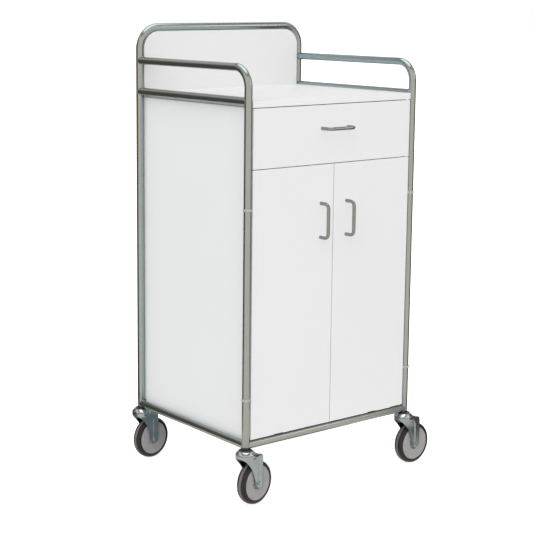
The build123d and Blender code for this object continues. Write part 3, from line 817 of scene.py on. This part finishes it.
def fork_mesh():
    """The pressed fork: half skins mirrored, joined and given the sheet's thickness."""
    bm = bmesh.new()
    for columns in (FORK_COLUMNS, TOP_COLUMNS):
        rows = skin(columns, 6, 4)
        for mirror in (1, -1):
            grid = [[bm.verts.new((p.x / 1000, mirror * p.y / 1000, p.z / 1000)) for p in row] for row in rows]
            for above, below in zip(grid, grid[1:]):
                for k in range(len(above) - 1):
                    bm.faces.new([above[k], above[k + 1], below[k + 1], below[k]])
    bmesh.ops.remove_doubles(bm, verts=bm.verts, dist=0.00003)
    bmesh.ops.recalc_face_normals(bm, faces=bm.faces)
    bm.normal_update()
    leg = max(bm.faces, key=lambda f: abs(f.calc_center_median().y) - f.calc_center_median().z)
    if leg.normal.y * leg.calc_center_median().y < 0:
        bmesh.ops.reverse_faces(bm, faces=bm.faces)
    mesh = bpy.data.meshes.new("fork_skin")
    bm.to_mesh(mesh)
    bm.free()
    obj = bpy.data.objects.new("fork_skin", mesh)
    bpy.context.scene.collection.objects.link(obj)
    sheet = obj.modifiers.new("sheet", "SOLIDIFY")
    sheet.thickness, sheet.offset, sheet.use_even_offset = 0.0027, -1, True
    edge = obj.modifiers.new("edge", "BEVEL")
    edge.width, edge.segments, edge.limit_method, edge.angle_limit = 0.0005, 2, "ANGLE", math.radians(50)
    bpy.context.view_layer.update()
    result = bpy.data.meshes.new_from_object(obj.evaluated_get(bpy.context.evaluated_depsgraph_get()))
    bpy.data.objects.remove(obj)
    return result


def profile_of(*points):
    """A (radius, height) profile, given in millimetres, in metres."""
    return [(r / 1000, h / 1000) for r, h in points]


def hexagon(radius, height, chamfer, bore):
    """A hexagon nut or bolt head, its corners chamfered both ends, standing up from z 0."""
    verts = []
    segments = 72
    apothem = radius * math.cos(math.pi / 6)
    face = apothem * 0.97
    # each ring's radius and height; no radius means the hexagon itself
    rings = ((bore, 0.0), (face, 0.0), (None, chamfer), (None, height - chamfer), (face, height), (bore, height))
    for radius_here, h in rings:
        for k in range(segments):
            t = 2 * math.pi * k / segments
            within = (t + math.pi / 6) % (math.pi / 3) - math.pi / 6
            r = radius_here or apothem / math.cos(within)
            verts.append(Vector((r * math.cos(t), r * math.sin(t), h)))
    faces = ring_faces(len(rings), segments)
    return verts, faces, [(0.0, 0.0)] * (4 * len(faces))


def across(offset, direction):
    """Turns a part made about Z onto the axle, offset along it, its top towards direction."""
    place = Matrix.Translation((TRAIL, offset, AXLE_Z))
    return place @ Matrix.Rotation(-direction * math.pi / 2, 4, "X")


def axle_part():
    """Hexagon head on one side; washer, nut and thread end on the other."""
    washer = profile_of((4.1, 0.0), (8.3, 0.0), (8.4, 0.2), (8.4, 0.7), (8.2, 0.9), (4.1, 0.9))
    shank = profile_of((0.2, -20.0), (4.0, -20.0), (4.0, 20.0), (0.2, 20.0))
    thread = [(0.2, 0.0)]
    for i in range(4):
        thread += [(4.0, 0.2 + i * 0.4), (3.6, 0.4 + i * 0.4)]
    thread += [(3.2, 1.6), (0.2, 1.6)]
    far = 0.022
    return joined(
        mapped(hexagon(0.0073, 0.0031, 0.0006, 0.0002), across(-far, -1)),
        mapped(lathe(shank, 32), across(0, 1)),
        mapped(lathe(washer, 48), across(far, 1)),
        mapped(hexagon(0.0073, 0.0035, 0.0006, 0.0039), across(far + 0.0009, 1)),
        mapped(lathe(profile_of(*thread), 32), across(far + 0.0042, 1)),
    )


HUB_HALF = [
    (4.1, 16.3), (8.2, 16.3), (9.0, 15.8), (9.4, 15.0), (9.8, 8.2), (10.6, 7.2), (17.2, 7.0), (18.2, 7.6),
    (18.6, 12.9), (19.2, 13.5), (24.6, 13.6), (25.2, 13.2), (26.2, 13.2), (26.8, 13.7), (33.6, 13.9), (34.2, 13.5),
    (35.2, 13.5), (35.8, 14.0), (42.6, 14.2), (43.2, 13.8), (44.2, 13.8), (44.8, 14.3), (48.6, 14.4), (49.4, 14.1),
    (49.8, 13.2),
]
TYRE_HALF = [
    (49.95, 13.2), (50.3, 14.3), (51.0, 14.7), (51.8, 14.6), (52.4, 14.9), (53.6, 15.0), (55.6, 14.6), (57.6, 13.5),
    (59.5, 11.6), (60.9, 9.2), (61.8, 6.4), (62.3, 3.2),
]
TYRE_CREST = (62.5, 0.0)


def wheel_ring(half, *crest):
    """A ring about the axle with the same profile on both sides, through crest between them."""
    loop = half + [*crest] + [(r, -offset) for r, offset in reversed(half)]
    return mapped(lathe(profile_of(*loop), 128), across(0, 1))


COLLAR = profile_of(
    (6.1, 162.3), (17.9, 162.3), (18.4, 162.7), (18.5, 163.4), (18.2, 164.1), (16.8, 164.6), (12.6, 164.9), (6.1, 164.9)
)
CAP = profile_of(
    (6.1, 162.2), (19.4, 162.2), (20.4, 161.9), (21.2, 161.3), (24.2, 158.4), (26.6, 155.8), (27.4, 154.9),
    (27.9, 154.3), (28.0, 153.8), (27.8, 153.2), (27.2, 152.9), (25.4, 152.9), (23.0, 156.4), (20.4, 159.8),
    (6.1, 160.2),
)
KINGPIN = profile_of(
    (0.4, 137.3), (6.5, 137.3), (8.6, 137.8), (9.4, 138.8), (9.5, 140.6), (6.0, 140.8), (6.0, 165.0),
    (9.4, 165.0), (9.4, 190.0), (0.4, 190.0),
)

fork = fork_mesh()
for name in CASTORS:
    here = castor_matrix(name)
    wheel, castor = f"{name}_wheel", f"{name}_castor"
    turned = fork.copy()
    turned.transform(here)
    place_piece(f"{name}_pressed_fork", turned, "castor_zinc", "castor_zinc", castor, f"{name}_fork", angle=40)
    for label, part, material, body, node, angle in (
        ("axle_bolt_and_nut", axle_part(), "castor_zinc", castor, f"{name}_axle_bolt", 30),
        ("wheel_hub", wheel_ring(HUB_HALF), "hub_plastic", wheel, f"{name}_hub", 30),
        ("wheel_tyre", wheel_ring(TYRE_HALF, TYRE_CREST), "tyre_rubber", wheel, f"{name}_tyre", 40),
    ):
        piece(f"{name}_{label}", mapped(part, here), material, material, body, node, angle=angle)
for label, profile, material, node in (
    ("castor_collar_washers", COLLAR, "collar_plastic", "castor_collars"),
    ("castor_race_caps", CAP, "cap_zinc", "castor_caps"),
    ("castor_kingpins", KINGPIN, "castor_zinc", "castor_stems"),
):
    parts = [mapped(lathe(profile, 96), castor_matrix(name)) for name in CASTORS]
    verts, faces, _ = joined(*parts)
    slot = "castor_zinc" if material == "cap_zinc" else material
    piece(label, (verts, faces, []), material, slot, "cabinet", node, angle=40)


# ---------------------------------------------------------------- small pieces
def ring_and_leaf(name, side):
    """Both hinges of a door: a soft-edged ring round the post and a leaf behind the door."""
    parts = []
    lo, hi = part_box(f"{name}_door_hinges")
    half = RING_HALF
    for z in (lo.z + half, hi.z - half):
        loop = [(0.01106, -half + 0.0004), (0.0114, -half), (0.0121, -half), (0.0126, -half + 0.0006)]
        loop += [(r, -h) for r, h in reversed(loop)]
        here = Matrix.Translation((side * POST_X, FRONT_Y, z))
        parts.append(mapped(lathe(loop, 72), here))
        reach = sorted((side * (POST_X - 0.0113), side * (POST_X - 0.052)))
        mesh = softened(block(reach, (inside_y, inside_y + LEAF_THICK), (z - half, z + half)), 0.0005, 2)
        parts.append(([v.co.copy() for v in mesh.vertices], [tuple(f.vertices) for f in mesh.polygons], []))
    verts, faces, _ = joined(*parts)
    hinges = f"{name}_door_hinges"
    piece(f"{hinges}_moulded", (verts, faces, []), "hinge_nylon", "hinge_nylon", f"{name}_door", hinges, angle=40)


for name, side in SIDES:
    ring_and_leaf(name, side)

KEPT = {
    "shelf_pins": "screw_steel", "panel_brackets": "screw_steel", "magnetic_catches": "catch_plastic",
    "left_strike_plate": "screw_steel", "right_strike_plate": "screw_steel", "left_runner_rail": "runner_enamel",
    "right_runner_rail": "runner_enamel", "drawer_runner_slides": "runner_enamel",
}
for node, material in KEPT.items():
    obj = NODES[node]
    obj.data.materials.clear()
    obj.data.materials.append(MATERIALS[material])


# ---------------------------------------------------------------- stage, light and camera
def stage_object(name, bm, material):
    """A part of the studio, not of the model."""
    mesh = bpy.data.meshes.new(name)
    bm.to_mesh(mesh)
    bm.free()
    mesh.shade_smooth()
    obj = bpy.data.objects.new(name, mesh)
    bpy.context.scene.collection.objects.link(obj)
    obj.data.materials.append(material)
    return obj


def floor():
    """A pale table, lit softly from beneath."""
    m = Nodes("Pale_floor")
    cloud = m.noise(m.place, 1.3, 3.0)
    colour = m.blend(m.span(cloud, 0, 1), (0.93, 0.93, 0.93), (0.95, 0.95, 0.95))
    lit = dict(Specular_IOR_Level=0.2, Emission_Color=(1.0, 1.0, 1.0, 1), Emission_Strength=TABLE_GLOW)
    m.finish(colour, m.span(cloud, 0.75, 0.85), m.bump(m.noise(m.place, 300.0), 0.00003, 0.3), **lit)
    bm = bmesh.new()
    bmesh.ops.create_circle(bm, cap_ends=True, radius=60.0, segments=96)
    table = stage_object("studio_floor", bm, m.material)
    table.visible_diffuse = table.visible_glossy = False


def glowing(name, colour):
    """A studio flat's material. Its colour is a tuple, or is made by colour(tree)."""
    material = bpy.data.materials.new(name)
    material.use_nodes = True
    tree = material.node_tree
    tree.nodes.clear()
    glow = tree.nodes.new("ShaderNodeEmission")
    out = tree.nodes.new("ShaderNodeOutputMaterial")
    if callable(colour):
        tree.links.new(colour(tree), glow.inputs["Color"])
    else:
        glow.inputs["Color"].default_value = (*colour, 1)
    tree.links.new(glow.outputs["Emission"], out.inputs["Surface"])
    return material


def flats_colour(tree):
    """Light and dark flats by the way round from the camera's side, lighter at their tops and near the table."""
    new, link = tree.nodes.new, tree.links.new

    def ranged(start, stop):
        node = new("ShaderNodeMapRange")
        node.inputs["From Min"].default_value, node.inputs["From Max"].default_value = start, stop
        return node

    place = new("ShaderNodeTexCoord")
    split = new("ShaderNodeSeparateXYZ")
    angle = new("ShaderNodeMath")
    angle.operation = "ARCTAN2"
    turn, rise, near = ranged(-math.pi, math.pi), ranged(1.5, 2.7), ranged(0.5, 0.8)
    ramp = new("ShaderNodeValToRGB")
    lighter = new("ShaderNodeMix")
    lighter.data_type, lighter.blend_type = "RGBA", "LIGHTEN"
    link(place.outputs["Object"], split.inputs["Vector"])
    link(split.outputs["Y"], angle.inputs[0])
    link(split.outputs["X"], angle.inputs[1])
    link(angle.outputs["Value"], turn.inputs["Value"])
    link(turn.outputs["Result"], ramp.inputs["Fac"])
    link(split.outputs["Z"], rise.inputs["Value"])
    link(rise.outputs["Result"], lighter.inputs["Factor"])
    out = new("ShaderNodeVectorMath")
    out.operation, out.inputs[1].default_value = "MULTIPLY", (1, 1, 0)
    distance = new("ShaderNodeVectorMath")
    distance.operation = "LENGTH"
    grounded = new("ShaderNodeMix")
    grounded.data_type = "RGBA"
    grounded.inputs[6].default_value = (*FLOOR_WARM, 1)
    link(place.outputs["Object"], out.inputs[0])
    link(out.outputs["Vector"], distance.inputs[0])
    link(distance.outputs["Value"], near.inputs["Value"])
    link(near.outputs["Result"], grounded.inputs["Factor"])
    link(ramp.outputs["Color"], grounded.inputs[7])
    link(grounded.outputs[2], lighter.inputs[6])
    lighter.inputs[7].default_value = (*FLAT_TOP, 1)
    # degrees from the side the camera stands on, and the flat there
    stops = [(-150, FLAT_REAR), (-140, FLAT_DARK), (-70, FLAT_DARK), (-58, FLAT_WARM), (79, FLAT_WARM),
             (88, FLAT_DARK), (140, FLAT_DARK), (150, FLAT_REAR)]
    facing = math.degrees(math.atan2(CAMERA_PLACE.y, CAMERA_PLACE.x))
    turned = sorted((((facing + a + 180) % 360) / 360, c) for a, c in stops)
    element = ramp.color_ramp.elements
    element[0].position, element[0].color = turned[0][0], (*turned[0][1], 1)
    element[1].position, element[1].color = turned[-1][0], (*turned[-1][1], 1)
    for position, colour in turned[1:-1]:
        element.new(position).color = (*colour, 1)
    return lighter.outputs[2]


def flat(name, rings, material, diffuse=False, arc=(0, 360)):
    """A round flat, or an arc of one, through (radius, height) rings. The camera never sees it."""
    bm = bmesh.new()
    start, stop = (math.radians(a) for a in arc)
    loops = []
    for r, z in rings:
        angles = [start + (stop - start) * k / 96 for k in range(97)]
        loops.append([bm.verts.new((r * math.cos(t), r * math.sin(t), z)) for t in angles])
    for low, high in zip(loops, loops[1:]):
        for k in range(96):
            bm.faces.new([low[k], low[k + 1], high[k + 1], high[k]])
    obj = stage_object(name, bm, material)
    obj.visible_camera = obj.visible_shadow = obj.visible_transmission = False
    obj.visible_diffuse = diffuse
    return obj


def world():
    """An even white surround for the camera, and soft fill from the sky and from a pale floor for the rest."""
    surround = bpy.data.worlds.new("Studio")
    bpy.context.scene.world = surround
    surround.use_nodes = True
    tree = surround.node_tree
    new, link = tree.nodes.new, tree.links.new
    glow = tree.nodes["Background"]
    glow.inputs["Color"].default_value = (1.0, 1.0, 1.0, 1)
    glow.inputs["Strength"].default_value = 1.0
    dim = new("ShaderNodeBackground")
    place = new("ShaderNodeTexCoord")
    split = new("ShaderNodeSeparateXYZ")
    level = new("ShaderNodeMapRange")
    for socket, value in zip(("From Min", "From Max", "To Min", "To Max"), (-0.02, 0.02, FLOOR_FILL, SKY_FILL)):
        level.inputs[socket].default_value = value
    path = new("ShaderNodeLightPath")
    mix = new("ShaderNodeMixShader")
    link(place.outputs["Generated"], split.inputs["Vector"])
    link(split.outputs["Z"], level.inputs["Value"])
    link(level.outputs["Result"], dim.inputs["Strength"])
    dim.inputs["Color"].default_value = (0.99, 1.0, 1.005, 1)
    link(path.outputs["Is Camera Ray"], mix.inputs["Fac"])
    link(dim.outputs["Background"], mix.inputs[1])
    link(glow.outputs["Background"], mix.inputs[2])
    link(mix.outputs["Shader"], tree.nodes["World Output"].inputs["Surface"])


CAMERA_PLACE = Vector((-2.6369, -3.1610, 1.3983))
YAW, PITCH, ROLL = 36.8922, 9.6198, -0.16
SKY_FILL, FLOOR_FILL = 0.70, 0.88
SUN = 1.85
TABLE_GLOW = 0.62
FLAT_WARM, FLAT_DARK, FLAT_REAR, FLAT_TOP = (1.2, 0.94, 0.80), (0.15, 0.11, 0.09), (0.9, 0.9, 0.9), (0.88, 0.70, 0.64)
FLOOR_WARM, OVERHEAD = (1.05, 0.83, 0.72), (2.2, 2.15, 2.1)
CEILING, STRIP = (0.34, 0.28, 0.27), (2.9, 2.35, 2.2)

camera = bpy.data.cameras.new("camera")
camera.lens, camera.sensor_width = 94.8405, 36.0
camera.shift_x, camera.shift_y = 0.12, -0.06
camera.clip_start, camera.clip_end = 0.1, 200.0
viewer = bpy.data.objects.new("camera", camera)
bpy.context.scene.collection.objects.link(viewer)
forward = Vector((
    math.sin(math.radians(YAW)) * math.cos(math.radians(PITCH)),
    math.cos(math.radians(YAW)) * math.cos(math.radians(PITCH)),
    -math.sin(math.radians(PITCH)),
))
aim = forward.to_track_quat("-Z", "Y").to_matrix().to_4x4()
viewer.matrix_world = Matrix.Translation(CAMERA_PLACE) @ aim @ Matrix.Rotation(math.radians(-ROLL), 4, "Z")
bpy.context.scene.camera = viewer

floor()
flat("studio_flats", ((0.001, -0.004), (2.6, -0.004), (2.6, 3.8)), glowing("Studio_flats", flats_colour))
flat("studio_ceiling", ((0.001, 3.75), (2.6, 3.75)), glowing("Ceiling", CEILING))
flat("studio_softbox", ((0.001, 3.7), (1.6, 3.7)), glowing("Softbox", OVERHEAD))
flat("studio_strip", ((2.5, 1.35), (2.5, 2.45)), glowing("Strip", STRIP), arc=(-50, -40))
# painted shadow: a dim glowing disc under the cabinet stands in for its shadow on the floor, seen in reflections and
# bounced light, as the floor itself shows only to the camera
flat("painted_floor_shadow", ((0.001, -0.002), (0.31, -0.002)), glowing("Shade", (0.26, 0.25, 0.25)), diffuse=True)
world()
lamp = bpy.data.lights.new("soft_key", "SUN")
lamp.energy, lamp.angle, lamp.color = SUN, math.radians(70), (1.0, 0.99, 0.975)
key = bpy.data.objects.new("soft_key", lamp)
bpy.context.scene.collection.objects.link(key)
key.rotation_euler = Vector((0.56, 0.52, -0.70)).to_track_quat("-Z", "Y").to_euler()
key.visible_glossy = False
bpy.context.scene.view_settings.view_transform = "Standard"
bpy.context.scene.view_settings.look = "None"
